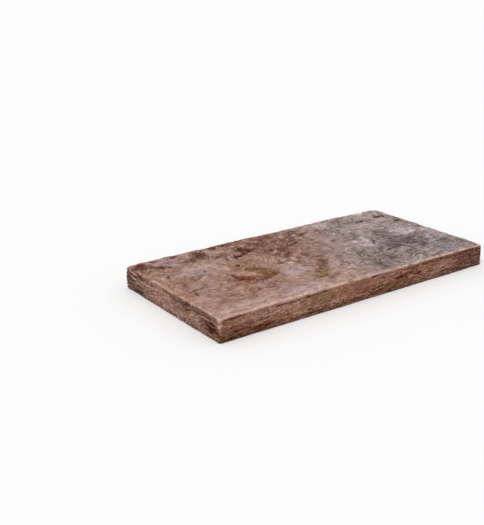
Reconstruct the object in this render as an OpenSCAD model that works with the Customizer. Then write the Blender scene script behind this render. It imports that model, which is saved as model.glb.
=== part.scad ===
// Mineral wool insulation board: one semi-rigid sheet of bonded wool, lying flat.
// Millimetres, +Z up. The origin is the centre of the underside, X runs along the length.

/* [Board] */
// Length of the board
board_length = 1250; // [600:10:2400]
// Width of the board
board_width = 600; // [300:5:1200]
// Thickness of the board
board_thickness = 85; // [50:5:200]

/* [Edges] */
// Radius of the arrises round the upper face, which the wool's pull leaves soft
upper_arris_radius = 7; // [3:1:24]
// Radius of the arrises round the underside, which lie pressed flat
lower_arris_radius = 4; // [2:1:24]
// Radius of the four upright corners
corner_radius = 7; // [3:1:40]

/* [Hidden] */
$fn = 48;

// The rounding cutter for one corner: what lies outside a circle that touches both sides.
// toward is the corner's own direction from the circle's centre, such as [-1, 1].
module corner_waste(radius, toward) {
    difference() {
        translate([min(toward.x, 0) * 2 * radius, min(toward.y, 0) * 2 * radius])
            square(2 * radius);
        circle(radius);
    }
}

// A rectangle that stands on the X axis, centred across it, with rounded corners.
module rounded_outline(size, lower_radius, upper_radius) {
    difference() {
        translate([-size.x / 2, 0])
            square(size);
        for (side = [-1, 1]) {
            translate([side * (size.x / 2 - lower_radius), lower_radius])
                corner_waste(lower_radius, [side, -1]);
            translate([side * (size.x / 2 - upper_radius), size.y - upper_radius])
                corner_waste(upper_radius, [side, 1]);
        }
    }
}

// The board as seen from one end, drawn out along its length.
module cross_section() {
    rotate([90, 0, 90])
        translate([0, 0, -board_length / 2])
            linear_extrude(board_length)
                rounded_outline([board_width, board_thickness], lower_arris_radius, upper_arris_radius);
}

// The board as seen from one long edge, drawn out across its width.
module long_section() {
    rotate([90, 0, 0])
        translate([0, 0, -board_width / 2])
            linear_extrude(board_width)
                rounded_outline([board_length, board_thickness], lower_arris_radius, upper_arris_radius);
}

// The board as seen from above, drawn up through its thickness.
module plan() {
    translate([0, -board_width / 2, 0])
        linear_extrude(board_thickness)
            rounded_outline([board_length, board_width], corner_radius, corner_radius);
}

// One solid: all three outlines hold at once, so the arrises meet at the corners.
module wool_board() {
    color([0.59, 0.48, 0.44])
        intersection() {
            cross_section();
            long_section();
            plan();
        }
}

wool_board();
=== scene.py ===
"""The looks of the mineral wool board: a felted upper face, layered cut edges and loose strands of wool."""

import functools
import itertools
import math

import bpy
import numpy as np
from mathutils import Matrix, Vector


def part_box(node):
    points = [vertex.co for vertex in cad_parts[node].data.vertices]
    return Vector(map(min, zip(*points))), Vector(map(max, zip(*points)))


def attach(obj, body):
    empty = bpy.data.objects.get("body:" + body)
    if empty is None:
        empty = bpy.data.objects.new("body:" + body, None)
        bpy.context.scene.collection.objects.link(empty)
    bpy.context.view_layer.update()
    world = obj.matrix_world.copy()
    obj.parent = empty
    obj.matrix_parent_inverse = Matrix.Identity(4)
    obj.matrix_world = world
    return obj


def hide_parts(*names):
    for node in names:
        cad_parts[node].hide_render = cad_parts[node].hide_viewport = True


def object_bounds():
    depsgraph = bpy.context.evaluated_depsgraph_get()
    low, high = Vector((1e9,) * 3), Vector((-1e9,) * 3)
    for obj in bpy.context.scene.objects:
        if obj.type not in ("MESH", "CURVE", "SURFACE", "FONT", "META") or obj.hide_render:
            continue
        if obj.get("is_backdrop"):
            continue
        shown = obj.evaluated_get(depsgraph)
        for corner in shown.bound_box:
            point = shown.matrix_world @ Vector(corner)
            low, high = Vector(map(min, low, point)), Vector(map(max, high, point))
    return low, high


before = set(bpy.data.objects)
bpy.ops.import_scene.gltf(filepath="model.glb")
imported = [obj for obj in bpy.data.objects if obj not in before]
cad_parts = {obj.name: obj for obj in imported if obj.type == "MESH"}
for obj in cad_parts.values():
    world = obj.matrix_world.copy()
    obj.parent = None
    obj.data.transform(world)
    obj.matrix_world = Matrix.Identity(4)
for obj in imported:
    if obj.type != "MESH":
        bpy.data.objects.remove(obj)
cad_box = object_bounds()

# Lengths are in metres, unless a name or a comment says otherwise.
MM = 0.001
LOW, HIGH = (np.array(corner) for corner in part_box("wool_board"))
LENGTH, WIDTH, THICKNESS = HIGH - LOW
PERIMETER = 2 * (LENGTH + WIDTH)

# The radii of the solid's own edges
UPPER_ARRIS = 7 * MM
LOWER_ARRIS = 4 * MM
CORNER = 7 * MM


# ---------------- colours

def srgb(red, green, blue):
    """A colour as read on a screen, from 0 to 255, as the linear one that Blender works in."""
    value = np.array([red, green, blue]) / 255
    return np.where(value > 0.04045, ((value + 0.055) / 1.055) ** 2.4, value / 12.92)


PINK = srgb(175, 142, 131)
TAN = srgb(163, 127, 109)
MAUVE = srgb(156, 141, 139)
PALE = srgb(200, 167, 156)
LILAC = srgb(180, 154, 153)
# Pale fuzz with a painted highlight along the upper edges
RIM_FUZZ_HIGHLIGHT = srgb(210, 178, 164)
BROWN = srgb(96, 56, 38)
WARM_BROWN = srgb(124, 85, 68)
UMBER = srgb(98, 80, 76)
OLIVE = srgb(120, 86, 54)
ORANGE = srgb(126, 78, 42)
STRAW = srgb(206, 162, 132)
RED_BROWN = srgb(100, 50, 30)
# Painted shade: the near-black of the depths of creases, splits, pits and gashes
CREVICE_SHADE = srgb(70, 24, 14)
LONG_EDGE = srgb(168, 122, 101)
CUT_END = srgb(162, 125, 112)
EDGE_DARK = srgb(86, 42, 24)
EDGE_OLIVE = srgb(136, 98, 62)
EDGE_RED = srgb(150, 89, 70)
EDGE_PALE = srgb(197, 156, 138)

# A screen shows a colour as bright as its light to the power of 1 / SCREEN.
SCREEN = 2.2
# The deepest that wool goes in shade, as shares of a screen's range: a red-brown
DARKEST = (0.20, 0.09, 0.06)


def shaded(tint, light):
    """Wool of that tint, with the same share of a screen's range added to all three channels."""
    return np.clip(tint ** (1 / SCREEN) + np.asarray(light)[..., None], DARKEST, 1) ** SCREEN


# ---------------- noise and maps

NOISE_GAIN = 1.7  # brings the noise to a range of about -1 to 1


def scatter(cell, seed):
    """A fixed random number from -1 to 1 for each cell of a lattice."""
    key = np.zeros(cell.shape[:-1], np.uint32) + np.uint32(seed * 7919 + 101)
    for axis in range(cell.shape[-1]):
        key = (key ^ cell[..., axis].astype(np.uint32)) * np.uint32(0x85EBCA6B)
        key ^= key >> np.uint32(13)
    key = key * np.uint32(0xC2B2AE35)
    return (key ^ (key >> np.uint32(16))) / 2.0**31 - 1


def noise(points, size, seed, octaves=1):
    """Smooth noise, mostly from -1 to 1. size is the distance between its bumps, along all axes or each."""
    total = 0.0
    for octave in range(octaves):
        at = points / (np.asarray(size) / 2**octave)
        cell = np.floor(at).astype(np.int64)
        part = at - cell
        ease = part**3 * (part * (part * 6 - 15) + 10)
        for corner in itertools.product((0, 1), repeat=points.shape[-1]):
            weight = np.where(corner, ease, 1 - ease).prod(-1)
            away = part - corner
            for axis in range(points.shape[-1]):
                slope = scatter(cell + corner, seed + 17 * axis + 101 * octave)
                total = total + NOISE_GAIN * 0.5**octave * weight * away[..., axis] * slope
    return total


def smooth(value, start, end):
    """0 before start, 1 after end, and an easy curve between them."""
    part = np.clip((value - start) / (end - start), 0, 1)
    return part * part * (3 - 2 * part)


def mix(first, second, share):
    """Colours between first and second."""
    return first + (second - first) * np.asarray(share)[..., None]


def between(values, row, column):
    """What a grid of numbers, or of rows of them, holds at row, column, between its whole cells."""
    i = np.minimum(np.floor(row).astype(int), values.shape[0] - 2)
    j = np.minimum(np.floor(column).astype(int), values.shape[1] - 2)
    a, b = (part.reshape(part.shape + (1,) * (values.ndim - 2)) for part in (row - i, column - j))
    near = values[i, j] * (1 - b) + values[i, j + 1] * b
    far = values[i + 1, j] * (1 - b) + values[i + 1, j + 1] * b
    return near * (1 - a) + far * a


# ---------------- felt: combed streaks and tufts as maps

TUFT_BEND = 0.35  # the spread of a tuft's turn from its middle to its end, in radians
TUFT_RIDE = 0.55  # the share of the height under a tuft that lifts it
INSIDE = 1.001  # keeps a place short of a map's last cell


class Felt:
    """A flat sheet of wool as maps with a cell each 2 mm: its heading, its streaks, and its tufts on top."""

    PITCH = 2 * MM

    def __init__(self, corner, size, heading, seed, wraps=False):
        self.corner, self.size = np.array(corner), np.array(size)
        self.seed, self.wraps = seed, wraps
        self.cells = np.ceil(self.size / self.PITCH).astype(int) + 1
        self.at = np.stack(np.indices(self.cells), -1) * self.PITCH
        self.heading = heading(self.at)
        self.height, self.shade = np.zeros((2, *self.cells))

    def wrapped(self, row, column):
        """The whole cell numbers nearest to row, column, kept on the sheet."""
        i, j = np.round(row).astype(int), np.round(column).astype(int)
        i = i % self.cells[0] if self.wraps else np.clip(i, 0, self.cells[0] - 1)
        return i, np.clip(j, 0, self.cells[1] - 1)

    def comb(self, grain, reach, seed):
        """Noise of that grain, drawn out along the heading as far as reach each way. Its spread is 1."""
        values = noise(self.at, grain, self.seed + seed)
        total = values.copy()
        for way in (-1, 1):
            row, column = np.indices(self.cells).astype(float)
            i, j = self.wrapped(row, column)
            for _ in range(int(reach / self.PITCH)):
                row += way * np.cos(self.heading[i, j])
                column += way * np.sin(self.heading[i, j])
                i, j = self.wrapped(row, column)
                total += values[i, j]
        return (total - total.mean()) / total.std()

    def lay(self, count, length, width, height, spread, seed):
        """Lays count tufts that overlap. length, width and height are (least, most)."""
        rng = np.random.default_rng(seed)
        centres = rng.uniform(0, self.size, (count, 2))
        lengths, widths, heights = (rng.uniform(*limits, count) for limits in (length, width, height))
        headings = self.heading[self.wrapped(*(centres / self.PITCH).T)] + rng.normal(0, spread, count)
        bends = rng.normal(0, TUFT_BEND, count) / lengths
        shades = rng.uniform(-1, 1, count)
        for item in zip(centres, lengths, widths, heights, headings, bends, shades):
            self.lay_one(*item)

    def lay_one(self, centre, length, width, height, heading, bend, shade):
        """Lays one tuft on what is there already: a bent spindle with a shade of its own."""
        reach = int((length / 2 + width) / self.PITCH) + 1
        middle = np.round(centre / self.PITCH).astype(int)
        rows = np.arange(middle[0] - reach, middle[0] + reach + 1)
        columns = np.arange(middle[1] - reach, middle[1] + reach + 1)
        if not self.wraps:
            rows = rows[(rows >= 0) & (rows < self.cells[0])]
        columns = columns[(columns >= 0) & (columns < self.cells[1])]
        u = (rows * self.PITCH - centre[0])[:, None]
        v = (columns * self.PITCH - centre[1])[None, :]
        along = u * math.cos(heading) + v * math.sin(heading)
        across = v * math.cos(heading) - u * math.sin(heading) - bend * along**2
        taper = np.clip(1 - (2 * along / length) ** 2, 0, 1)
        body = 1 - (2 * across / width) ** 2 / np.maximum(taper, 1e-6)
        window = np.ix_(rows % self.cells[0], columns)
        under = self.height[window]
        over = TUFT_RIDE * float(np.mean(under)) + height * np.clip(body, 0, 1) ** 0.7 * taper**0.5
        on_top = (body > 0) & (over > under)
        self.height[window] = np.where(on_top, over, under)
        self.shade[window] = np.where(on_top, shade, self.shade[window])

    def soften(self):
        """Rounds the tufts' edges, which the mesh is too coarse to hold."""
        for values in (self.height, self.shade):
            for axis in (0, 1):
                values += 0.25 * (np.roll(values, 1, axis) + np.roll(values, -1, axis) - 2 * values)
        self.height -= self.height.mean()

    def read(self, name, at):
        """A map's values at places on the sheet, between its cells."""
        row, column = ((at - self.corner) / self.PITCH).T
        row = row % (self.cells[0] - 1) if self.wraps else np.clip(row, 0, self.cells[0] - INSIDE)
        return between(getattr(self, name), row, np.clip(column, 0, self.cells[1] - INSIDE))


def swirl(seed):
    """A heading that wanders over the sheet."""
    return lambda place: 2.6 * noise(place, 0.16, seed) + 1.4 * noise(place, 0.06, seed + 1)


def level(place):
    """The heading of the layers on a cut edge."""
    return 0.10 * noise(place, 0.15, 5)


upper_felt = Felt(LOW[:2], (LENGTH, WIDTH), swirl(3), 11)
upper_felt.lay(1500, (0.03, 0.08), (0.009, 0.022), (0.5 * MM, 1.8 * MM), 0.6, 11)
upper_felt.lay(3200, (0.012, 0.036), (0.006, 0.011), (0.5 * MM, 1.5 * MM), 0.8, 12)
under_felt = Felt(LOW[:2], (LENGTH, WIDTH), swirl(7), 13)
under_felt.lay(1500, (0.03, 0.08), (0.009, 0.022), (0.5 * MM, 1.4 * MM), 0.6, 13)
edge_felt = Felt((0, 0), (PERIMETER, THICKNESS), level, 14, wraps=True)
edge_felt.lay(2000, (0.03, 0.10), (0.004, 0.010), (0.6 * MM, 2.0 * MM), 0.08, 14)
edge_felt.lay(3600, (0.012, 0.04), (0.003, 0.007), (0.6 * MM, 1.8 * MM), 0.25, 15)
for felt in (upper_felt, under_felt, edge_felt):
    felt.soften()
for felt in (upper_felt, under_felt):
    felt.wisps = felt.comb(7 * MM, 18 * MM, 1)
    felt.bands = felt.comb(22 * MM, 34 * MM, 2)
edge_felt.wisps = edge_felt.comb((8 * MM, 4.5 * MM), 10 * MM, 1)
edge_felt.bands = edge_felt.comb((26 * MM, 10 * MM), 30 * MM, 2)


# ---------------- areas and marks

class Area:
    """A long soft patch of a sheet. turn is in degrees."""

    def __init__(self, x, y, length, width, turn=0):
        self.place = np.array([x, y])
        self.size = np.array([length, width])
        self.turn = math.radians(turn)

    def share(self, at, ragged=0.0):
        """How much of the area there is at each place, from 0 to 1. ragged pushes its outline in and out."""
        x, y = (at - self.place).T
        along = x * math.cos(self.turn) + y * math.sin(self.turn)
        across = y * math.cos(self.turn) - x * math.sin(self.turn)
        out = np.hypot(along / self.size[0], across / self.size[1]) * 2
        return 1 - smooth(out + ragged * min(1, self.size[1] / 0.04), 0.35, 1.2)


class Mark(Area):
    """A stain, pit, crease or lump: an area with a colour, and how deep it goes in millimetres."""

    def __init__(self, x, y, length, width, turn, colour, strength, depth=0):
        super().__init__(x, y, length, width, turn)
        self.colour, self.strength, self.depth = colour, strength, depth * MM

    def near(self, at):
        """Which of the places may lie in the mark, so that the others need no working out."""
        return np.abs(at[:, 0] - self.place[0]) < self.size.max()


def marks(rows, start=0.0, way=1):
    """Marks from rows of (x, y, length, width, turn, colour, strength, depth), with lengths in millimetres.

    On a cut edge x is the board's own x or y, start is where its middle comes on the way round the
    board, way is -1 where it runs against that, and y is the height.
    """
    made = []
    for x, y, length, width, turn, *look in rows:
        x, y, length, width = (value / 1000 for value in (x, y, length, width))
        made.append(Mark(start + way * x, y, length, width, way * turn, *look))
    return made


# Wide changes of colour, from the pink left to the grey right
UPPER_ZONES = marks([
    (-60, 190, 420, 260, 10, WARM_BROWN, 0.7),
    (-30, 50, 260, 200, 30, WARM_BROWN, 0.45),
    (410, 140, 260, 120, 10, srgb(180, 160, 156), 0.6),
    (-300, 10, 340, 240, 20, TAN, 0.6),
    (-620, -60, 100, 360, 0, srgb(176, 134, 112), 0.6),
    (-615, 230, 70, 180, 0, srgb(146, 100, 88), 0.7),
    (-400, -260, 700, 100, 0, PALE, 0.5),
    (-260, -250, 200, 100, 0, LILAC, 0.7),
    (-470, 240, 120, 160, 70, srgb(162, 134, 134), 0.7),
    (-440, 100, 240, 120, 0, srgb(190, 164, 160), 0.6),
    (-570, -130, 100, 60, 20, LILAC, 0.4),
    (-60, -220, 300, 160, 35, PINK, 0.6),
    (20, -150, 160, 120, 60, LILAC, 0.5),
    (-20, -250, 200, 100, 0, PALE, 0.4),
    (250, 250, 120, 110, 40, srgb(200, 176, 173), 0.8),
    (340, 190, 220, 80, 0, srgb(140, 126, 120), 0.5),
    (390, -80, 340, 170, 5, srgb(112, 95, 96), 0.8),
    (510, 0, 220, 80, 20, srgb(190, 174, 174), 0.6),
    (550, 240, 220, 200, 0, srgb(184, 166, 162), 0.6),
    (450, 270, 140, 80, 0, srgb(186, 168, 162), 0.5),
    (200, 100, 140, 120, 0, srgb(172, 153, 148), 0.6),
    (590, -80, 100, 260, 0, srgb(175, 165, 167), 0.8),
    (260, -20, 120, 120, 70, srgb(200, 180, 182), 0.8),
    (200, -200, 340, 200, 0, srgb(128, 110, 102), 0.6),
    (520, -220, 300, 160, 0, srgb(136, 127, 128), 0.7),
    (130, -150, 280, 130, 60, srgb(150, 137, 129), 0.5),
])

UPPER_MARKS = marks([
    # the pit left of the middle: olive above, dark red-brown below, and a light tuft across it
    (-288, 34, 130, 110, 60, srgb(156, 121, 92), 0.6, 2),
    (-275, 4, 70, 36, -10, OLIVE, 0.6, 1),
    (-303, 16, 50, 24, -20, srgb(108, 78, 46), 0.5, 1),
    (-295, 62, 36, 24, 50, BROWN, 1.0, 2),
    (-252, -40, 120, 80, -60, OLIVE, 0.8, 3),
    (-242, -80, 70, 44, 30, ORANGE, 0.7, 1),
    (-335, -66, 150, 95, -35, srgb(124, 64, 40), 0.9, 4),
    (-348, -58, 80, 36, -35, RED_BROWN, 0.8, 0),
    (-288, -88, 80, 50, -35, BROWN, 0.8, 3),
    (-262, -62, 60, 24, -60, BROWN, 0.4, 1),
    (-316, -26, 120, 36, -38, srgb(196, 153, 128), 0.85, -3),
    (-325, -42, 50, 7, -40, RED_BROWN, 0.6, 1),
    (-305, -16, 80, 8, -35, OLIVE, 0.6, 1),
    (-363, -22, 55, 18, 95, BROWN, 0.9, 3),
    (-392, -10, 80, 20, 55, srgb(128, 98, 84), 0.6, 1),
    # the deep crease behind it and the hollow that it comes from, with painted shade in their depths, and a
    # long thin fold
    (-238, 138, 60, 36, 15, CREVICE_SHADE, 1.0, 4),
    (-243, 138, 50, 34, 15, CREVICE_SHADE, 1.0, 0),
    (-206, 151, 110, 22, 20, CREVICE_SHADE, 1.0, 3),
    (-168, 168, 80, 28, 20, BROWN, 1.0, 3),
    (-170, 188, 80, 55, 110, BROWN, 1.0, 3),
    (-184, 207, 56, 44, 80, CREVICE_SHADE, 0.9, 2),
    (-158, 178, 40, 24, 60, CREVICE_SHADE, 0.4, 1),
    (-160, 228, 50, 20, -20, PALE, 0.5, -1),
    (-284, 145, 180, 14, 62, srgb(128, 96, 90), 0.7, 1),
    (-430, 74, 30, 16, 60, srgb(106, 82, 80), 0.8, 1),
    (-362, 143, 34, 14, 75, srgb(116, 88, 84), 0.8, 1),
    # the back left: brown bands where the surface has been pulled open
    (-585, 262, 100, 60, 10, BROWN, 1.0, 2),
    (-535, 212, 120, 40, -35, srgb(94, 62, 51), 1.0, 3),
    (-585, 228, 40, 30, 0, RED_BROWN, 0.8, 1),
    (-530, 275, 40, 35, 70, BROWN, 0.8, 1),
    (-350, 240, 120, 80, 55, srgb(96, 62, 49), 1.0, 3),
    (-405, 203, 130, 42, 2, srgb(96, 65, 54), 0.8, 2),
    (-270, 275, 60, 55, 30, BROWN, 0.85, 1),
    (-205, 280, 150, 50, 0, BROWN, 0.8, 1),
    (-437, 282, 45, 28, 60, BROWN, 0.7, 1),
    (-300, 170, 80, 34, -40, BROWN, 0.4, 0),
    # the brown ground across the middle, with an arch of it round the pale lumps
    (-64, 100, 140, 34, 35, BROWN, 0.6, 2),
    (-22, 100, 60, 40, 60, BROWN, 0.4, 2),
    (-62, 62, 120, 30, -8, BROWN, 0.65, 2),
    (-84, 38, 70, 28, 60, BROWN, 0.55, 2),
    (-110, 118, 70, 34, 20, BROWN, 0.55, 1),
    (-95, 215, 90, 55, 65, BROWN, 0.6, 1),
    (-20, 275, 120, 70, 60, RED_BROWN, 0.6, 2),
    (-143, 0, 50, 26, 70, BROWN, 0.9, 2),
    (26, 202, 60, 30, 50, RED_BROWN, 0.8, 2),
    (62, 190, 70, 36, 50, srgb(108, 76, 68), 0.6, 1),
    (30, 138, 120, 20, 24, BROWN, 0.55, 3),
    (133, 212, 60, 44, 20, srgb(88, 64, 46), 1.0, 3),
    (90, 240, 100, 50, 30, BROWN, 0.5, 2),
    (-18, 6, 90, 34, 80, srgb(110, 82, 70), 0.75, 2),
    (10, -30, 80, 24, -10, srgb(116, 88, 78), 0.7, 1),
    (70, -22, 60, 34, 0, srgb(120, 94, 86), 0.6, 1),
    (84, 56, 40, 26, 20, srgb(108, 80, 66), 0.6, 1),
    # the olive streak in front of the middle
    (-108, -182, 130, 70, 35, srgb(138, 104, 70), 0.8, 2),
    (-110, -204, 80, 30, 10, BROWN, 0.55, 1),
    (-58, -138, 130, 54, 40, srgb(130, 98, 70), 0.8, 2),
    (-10, -72, 60, 44, 30, srgb(100, 76, 54), 0.8, 2),
    (-18, -103, 90, 22, 35, BROWN, 0.15, 2),
    (-98, -85, 40, 26, 60, srgb(118, 92, 82), 0.6, 1),
    (-80, -225, 140, 36, 20, BROWN, 0.4, 1),
    # the left end: an olive patch and a thin bent crease
    (-525, 45, 130, 70, 5, OLIVE, 0.5, 1),
    (-500, 45, 40, 30, 60, BROWN, 0.4, 1),
    (-555, 0, 120, 30, 70, BROWN, 0.35, 1),
    (-535, -48, 90, 12, 4, BROWN, 0.9, 2),
    (-565, -80, 65, 13, 70, BROWN, 0.8, 2),
    (-560, 110, 34, 14, 55, BROWN, 0.9, 2),
    (-390, -110, 150, 90, 20, srgb(146, 106, 80), 0.7, 0),
    (-505, -180, 120, 80, 70, srgb(150, 112, 94), 0.6, 0),
    (-395, -170, 50, 30, 60, BROWN, 0.4, 1),
    (-370, -172, 30, 18, 50, BROWN, 0.8, 2),
    (-310, -165, 70, 50, 50, srgb(146, 98, 88), 0.7, 0),
    (-420, -215, 80, 40, 30, BROWN, 0.3, 0),
    (-520, 130, 80, 70, 50, BROWN, 0.25, 0),
    # the grey right end: dark folds round light curls
    (300, -30, 90, 24, 55, UMBER, 0.8, 2),
    (372, -84, 120, 28, 82, UMBER, 1.0, 2),
    (444, -65, 130, 24, 74, UMBER, 0.9, 3),
    (345, -125, 130, 36, 8, UMBER, 0.6, 2),
    (400, 45, 120, 50, 20, UMBER, 0.5, 2),
    (425, 35, 60, 24, 0, UMBER, 0.7, 2),
    (300, 90, 50, 30, 40, UMBER, 0.5, 1),
    (330, -225, 70, 50, -10, UMBER, 0.5, 1),
    (140, -245, 100, 70, 70, UMBER, 0.5, 1),
    (230, -200, 120, 40, 40, UMBER, 0.5, 1),
    (70, -80, 60, 30, 40, BROWN, 0.4, 1),
    (170, -100, 90, 50, 40, UMBER, 0.5, 1),
    (260, -110, 80, 30, 20, UMBER, 0.4, 1),
    (450, -150, 90, 30, 60, UMBER, 0.6, 2),
    (530, -180, 110, 30, 40, UMBER, 0.4, 1),
    (515, -10, 100, 48, 25, srgb(214, 201, 198), 0.8, -2),
    (520, 4, 34, 16, 20, srgb(140, 124, 122), 0.8, 1),
    (510, 275, 70, 26, 40, srgb(214, 200, 194), 0.9, -2),
    (560, 213, 80, 46, -10, srgb(82, 60, 58), 1.0, 3),
    (205, 185, 60, 140, -10, srgb(134, 104, 96), 0.5, 1),
    (430, 200, 100, 36, 0, UMBER, 0.6, 1),
    (594, 132, 40, 34, 60, srgb(96, 74, 72), 0.9, 2),
    (175, 72, 40, 26, 50, srgb(106, 88, 66), 0.7, 2),
    # pale lumps of looser wool
    (38, 228, 70, 26, 50, srgb(180, 150, 138), 0.8, -1),
    (-48, 30, 55, 28, 60, srgb(192, 153, 134), 0.85, -2),
    (-100, -12, 60, 50, 65, srgb(138, 104, 92), 0.6, 1),
    (-82, 0, 50, 27, 70, srgb(208, 176, 166), 1.0, -2),
    (-119, -32, 38, 27, 60, srgb(208, 176, 166), 1.0, -2),
    (-126, 12, 36, 20, 50, PALE, 0.6, -1),
    (-3, 62, 80, 16, 52, srgb(190, 154, 138), 0.7, -1),
    (-40, -4, 90, 16, 80, srgb(184, 148, 134), 0.6, -1),
    (-50, -55, 70, 60, 50, LILAC, 0.4, -1),
    (-150, -100, 130, 110, 20, LILAC, 0.95, -1),
    (0, -175, 180, 50, 60, srgb(180, 148, 144), 0.5, -1),
    (-210, -280, 160, 22, 3, PALE, 0.9, -1),
    (110, -115, 80, 44, 60, srgb(186, 170, 162), 0.6, -1),
    (247, -20, 50, 100, 0, srgb(202, 182, 184), 0.85, -1),
    (323, -165, 50, 36, 30, srgb(196, 180, 174), 0.7, -1),
    (397, -40, 26, 60, -10, srgb(150, 136, 138), 0.5, 0),
    (465, 26, 70, 34, 10, srgb(198, 184, 176), 0.7, -1),
    (455, -45, 50, 24, 70, srgb(194, 178, 174), 0.6, -1),
    (490, -20, 60, 22, 60, srgb(204, 190, 186), 0.7, -1),
    (-430, -130, 70, 34, 30, PALE, 0.4, 0),
])

CALM_AREAS = [
    Area(-0.48, -0.20, 0.36, 0.22),
    Area(-0.22, -0.23, 0.36, 0.14),
    Area(-0.42, 0.11, 0.30, 0.12, 15),
    Area(-0.15, -0.10, 0.16, 0.14),
    Area(0.00, -0.24, 0.22, 0.12),
    Area(0.38, 0.14, 0.26, 0.14, 20),
]

# Places on the cut edges are (distance round the board, height), from the front left corner along the front.
EDGE_CALM_AREAS = [
    Area(0.070, 0.056, 0.24, 0.080),
    Area(0.190, 0.040, 0.14, 0.050),
    Area(0.300, 0.055, 0.16, 0.040),
    Area(0.560, 0.060, 0.30, 0.060),
    Area(0.920, 0.060, 0.24, 0.050),
    Area(1.130, 0.050, 0.20, 0.080),
    Area(PERIMETER - 0.050, 0.070, 0.16, 0.036),
    Area(PERIMETER - 0.330, 0.045, 0.16, 0.060),
]


def splits(seed, count, length, width, strength):
    """Splits and pits between the layers of the cut edges, painted dark as the shade in them, spread round
    the board but for calm areas.
    """
    rng = np.random.default_rng(seed)
    for _ in range(count):
        x, height = rng.uniform(0, PERIMETER), THICKNESS * rng.uniform(0.1, 0.92)
        size = rng.uniform(*length), rng.uniform(*width)
        split = Mark(x, height, *size, rng.normal(0, 3), CREVICE_SHADE, rng.uniform(*strength), rng.uniform(2, 5))
        if all(area.share(split.place[None])[0] < 0.4 for area in EDGE_CALM_AREAS):
            yield split


# On the front edge, the darkest marks are splits, painted dark with the shade in their depths.
FRONT_MARKS = marks([
    (-365, 73, 70, 8, -3, CREVICE_SHADE, 1.0, 4),
    (-315, 71, 60, 8, 4, CREVICE_SHADE, 1.0, 4),
    (-285, 61, 36, 8, 0, CREVICE_SHADE, 0.9, 4),
    (-187, 79, 26, 8, 0, EDGE_DARK, 0.8, 1),
    (45, 79, 34, 10, 0, CREVICE_SHADE, 1.0, 3),
    (-460, 18, 140, 22, 2, RED_BROWN, 0.8, 2),
    (-590, 16, 90, 26, 0, EDGE_OLIVE, 0.7, 2),
    (-550, 30, 120, 8, 0, EDGE_DARK, 0.8, 2),
    (-540, 6, 160, 14, 0, EDGE_DARK, 0.8, 0),
    (-225, 50, 140, 40, 0, EDGE_OLIVE, 0.6, 0),
    (-150, 50, 60, 30, 0, EDGE_RED, 0.6, 0),
    (10, 40, 120, 40, 0, EDGE_RED, 0.5, 0),
    (110, 26, 140, 30, 0, EDGE_OLIVE, 0.8, 1),
    (205, 50, 120, 22, 4, RED_BROWN, 0.7, 2),
    (265, 44, 60, 12, 3, RED_BROWN, 0.8, 2),
    (400, 40, 160, 40, 0, EDGE_PALE, 0.5, 0),
    (560, 45, 260, 140, 0, srgb(112, 76, 72), 0.7, 0),
    # painted shade under the rim's soft overhang on the right
    (430, 73, 500, 18, 0, EDGE_DARK, 0.5, 1),
    (-420, 62, 340, 40, 0, EDGE_PALE, 0.45, 0),
    (-190, 52, 440, 70, 0, EDGE_PALE, 0.35, 0),
    (-205, 55, 160, 34, 0, srgb(150, 114, 76), 0.5, 0),
    (-112, 58, 100, 28, 0, srgb(166, 126, 84), 0.55, 0),
    (-250, 73, 50, 12, -4, srgb(152, 98, 88), 0.5, 0),
    (-280, 30, 160, 20, 2, EDGE_PALE, 0.4, 0),
    (300, 22, 140, 18, 2, EDGE_PALE, 0.35, 0),
    # painted shade under the rim near the front left corner
    (-560, 76, 100, 11, 0, EDGE_DARK, 0.6, 1),
], LENGTH / 2)

# On the left end, the darkest marks are splits and a gash near the front corner, painted dark with the shade
# in their depths.
LEFT_END_MARKS = marks([
    (-252, 36, 110, 40, 10, RED_BROWN, 0.7, 1),
    (-260, 52, 55, 14, 10, CREVICE_SHADE, 1.0, 3),
    (-262, 36, 80, 20, 8, CREVICE_SHADE, 1.0, 3),
    (-252, 29, 36, 18, 0, CREVICE_SHADE, 1.0, 1),
    (-280, 14, 50, 20, 0, EDGE_OLIVE, 0.6, 1),
    # partly brown wool, partly painted shade where the arris rounds over near the front corner
    (-225, 70, 160, 30, 0, srgb(122, 88, 76), 0.8, 2),
    (-226, 24, 50, 11, 10, CREVICE_SHADE, 0.8, 3),
    (-207, 42, 50, 11, 8, CREVICE_SHADE, 0.8, 3),
    (-75, 68, 180, 26, 0, srgb(112, 78, 64), 0.6, 1),
    (-110, 72, 60, 16, 0, RED_BROWN, 0.8, 2),
    (-10, 72, 35, 8, 0, CREVICE_SHADE, 0.9, 3),
    (-120, 46, 100, 40, 0, EDGE_OLIVE, 0.6, 0),
    (205, 73, 100, 20, 6, RED_BROWN, 0.8, 2),
    (192, 67, 50, 13, 6, CREVICE_SHADE, 0.6, 1),
    (270, 52, 90, 80, 0, srgb(112, 84, 76), 0.7, -3),
    (242, 64, 60, 12, 6, CREVICE_SHADE, 0.7, 2),
    (266, 49, 70, 12, 4, CREVICE_SHADE, 0.7, 2),
    (240, 72, 50, 11, 8, EDGE_PALE, 1.0, -1),
    (247, 57, 45, 10, 8, EDGE_PALE, 0.9, -1),
    (200, 32, 50, 13, 0, EDGE_DARK, 0.7, 2),
    (240, 8, 140, 20, 0, srgb(90, 80, 76), 0.7, 0),
    (212, 12, 100, 20, -8, srgb(70, 52, 50), 0.8, 1),
    (70, 50, 220, 60, 0, EDGE_PALE, 0.5, 0),
    (0, 26, 360, 30, 0, EDGE_PALE, 0.45, 0),
    (-150, 40, 140, 30, 0, EDGE_PALE, 0.35, 0),
    (-60, 8, 30, 8, 10, STRAW, 1.0, -2),
], PERIMETER - WIDTH / 2, -1)

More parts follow.
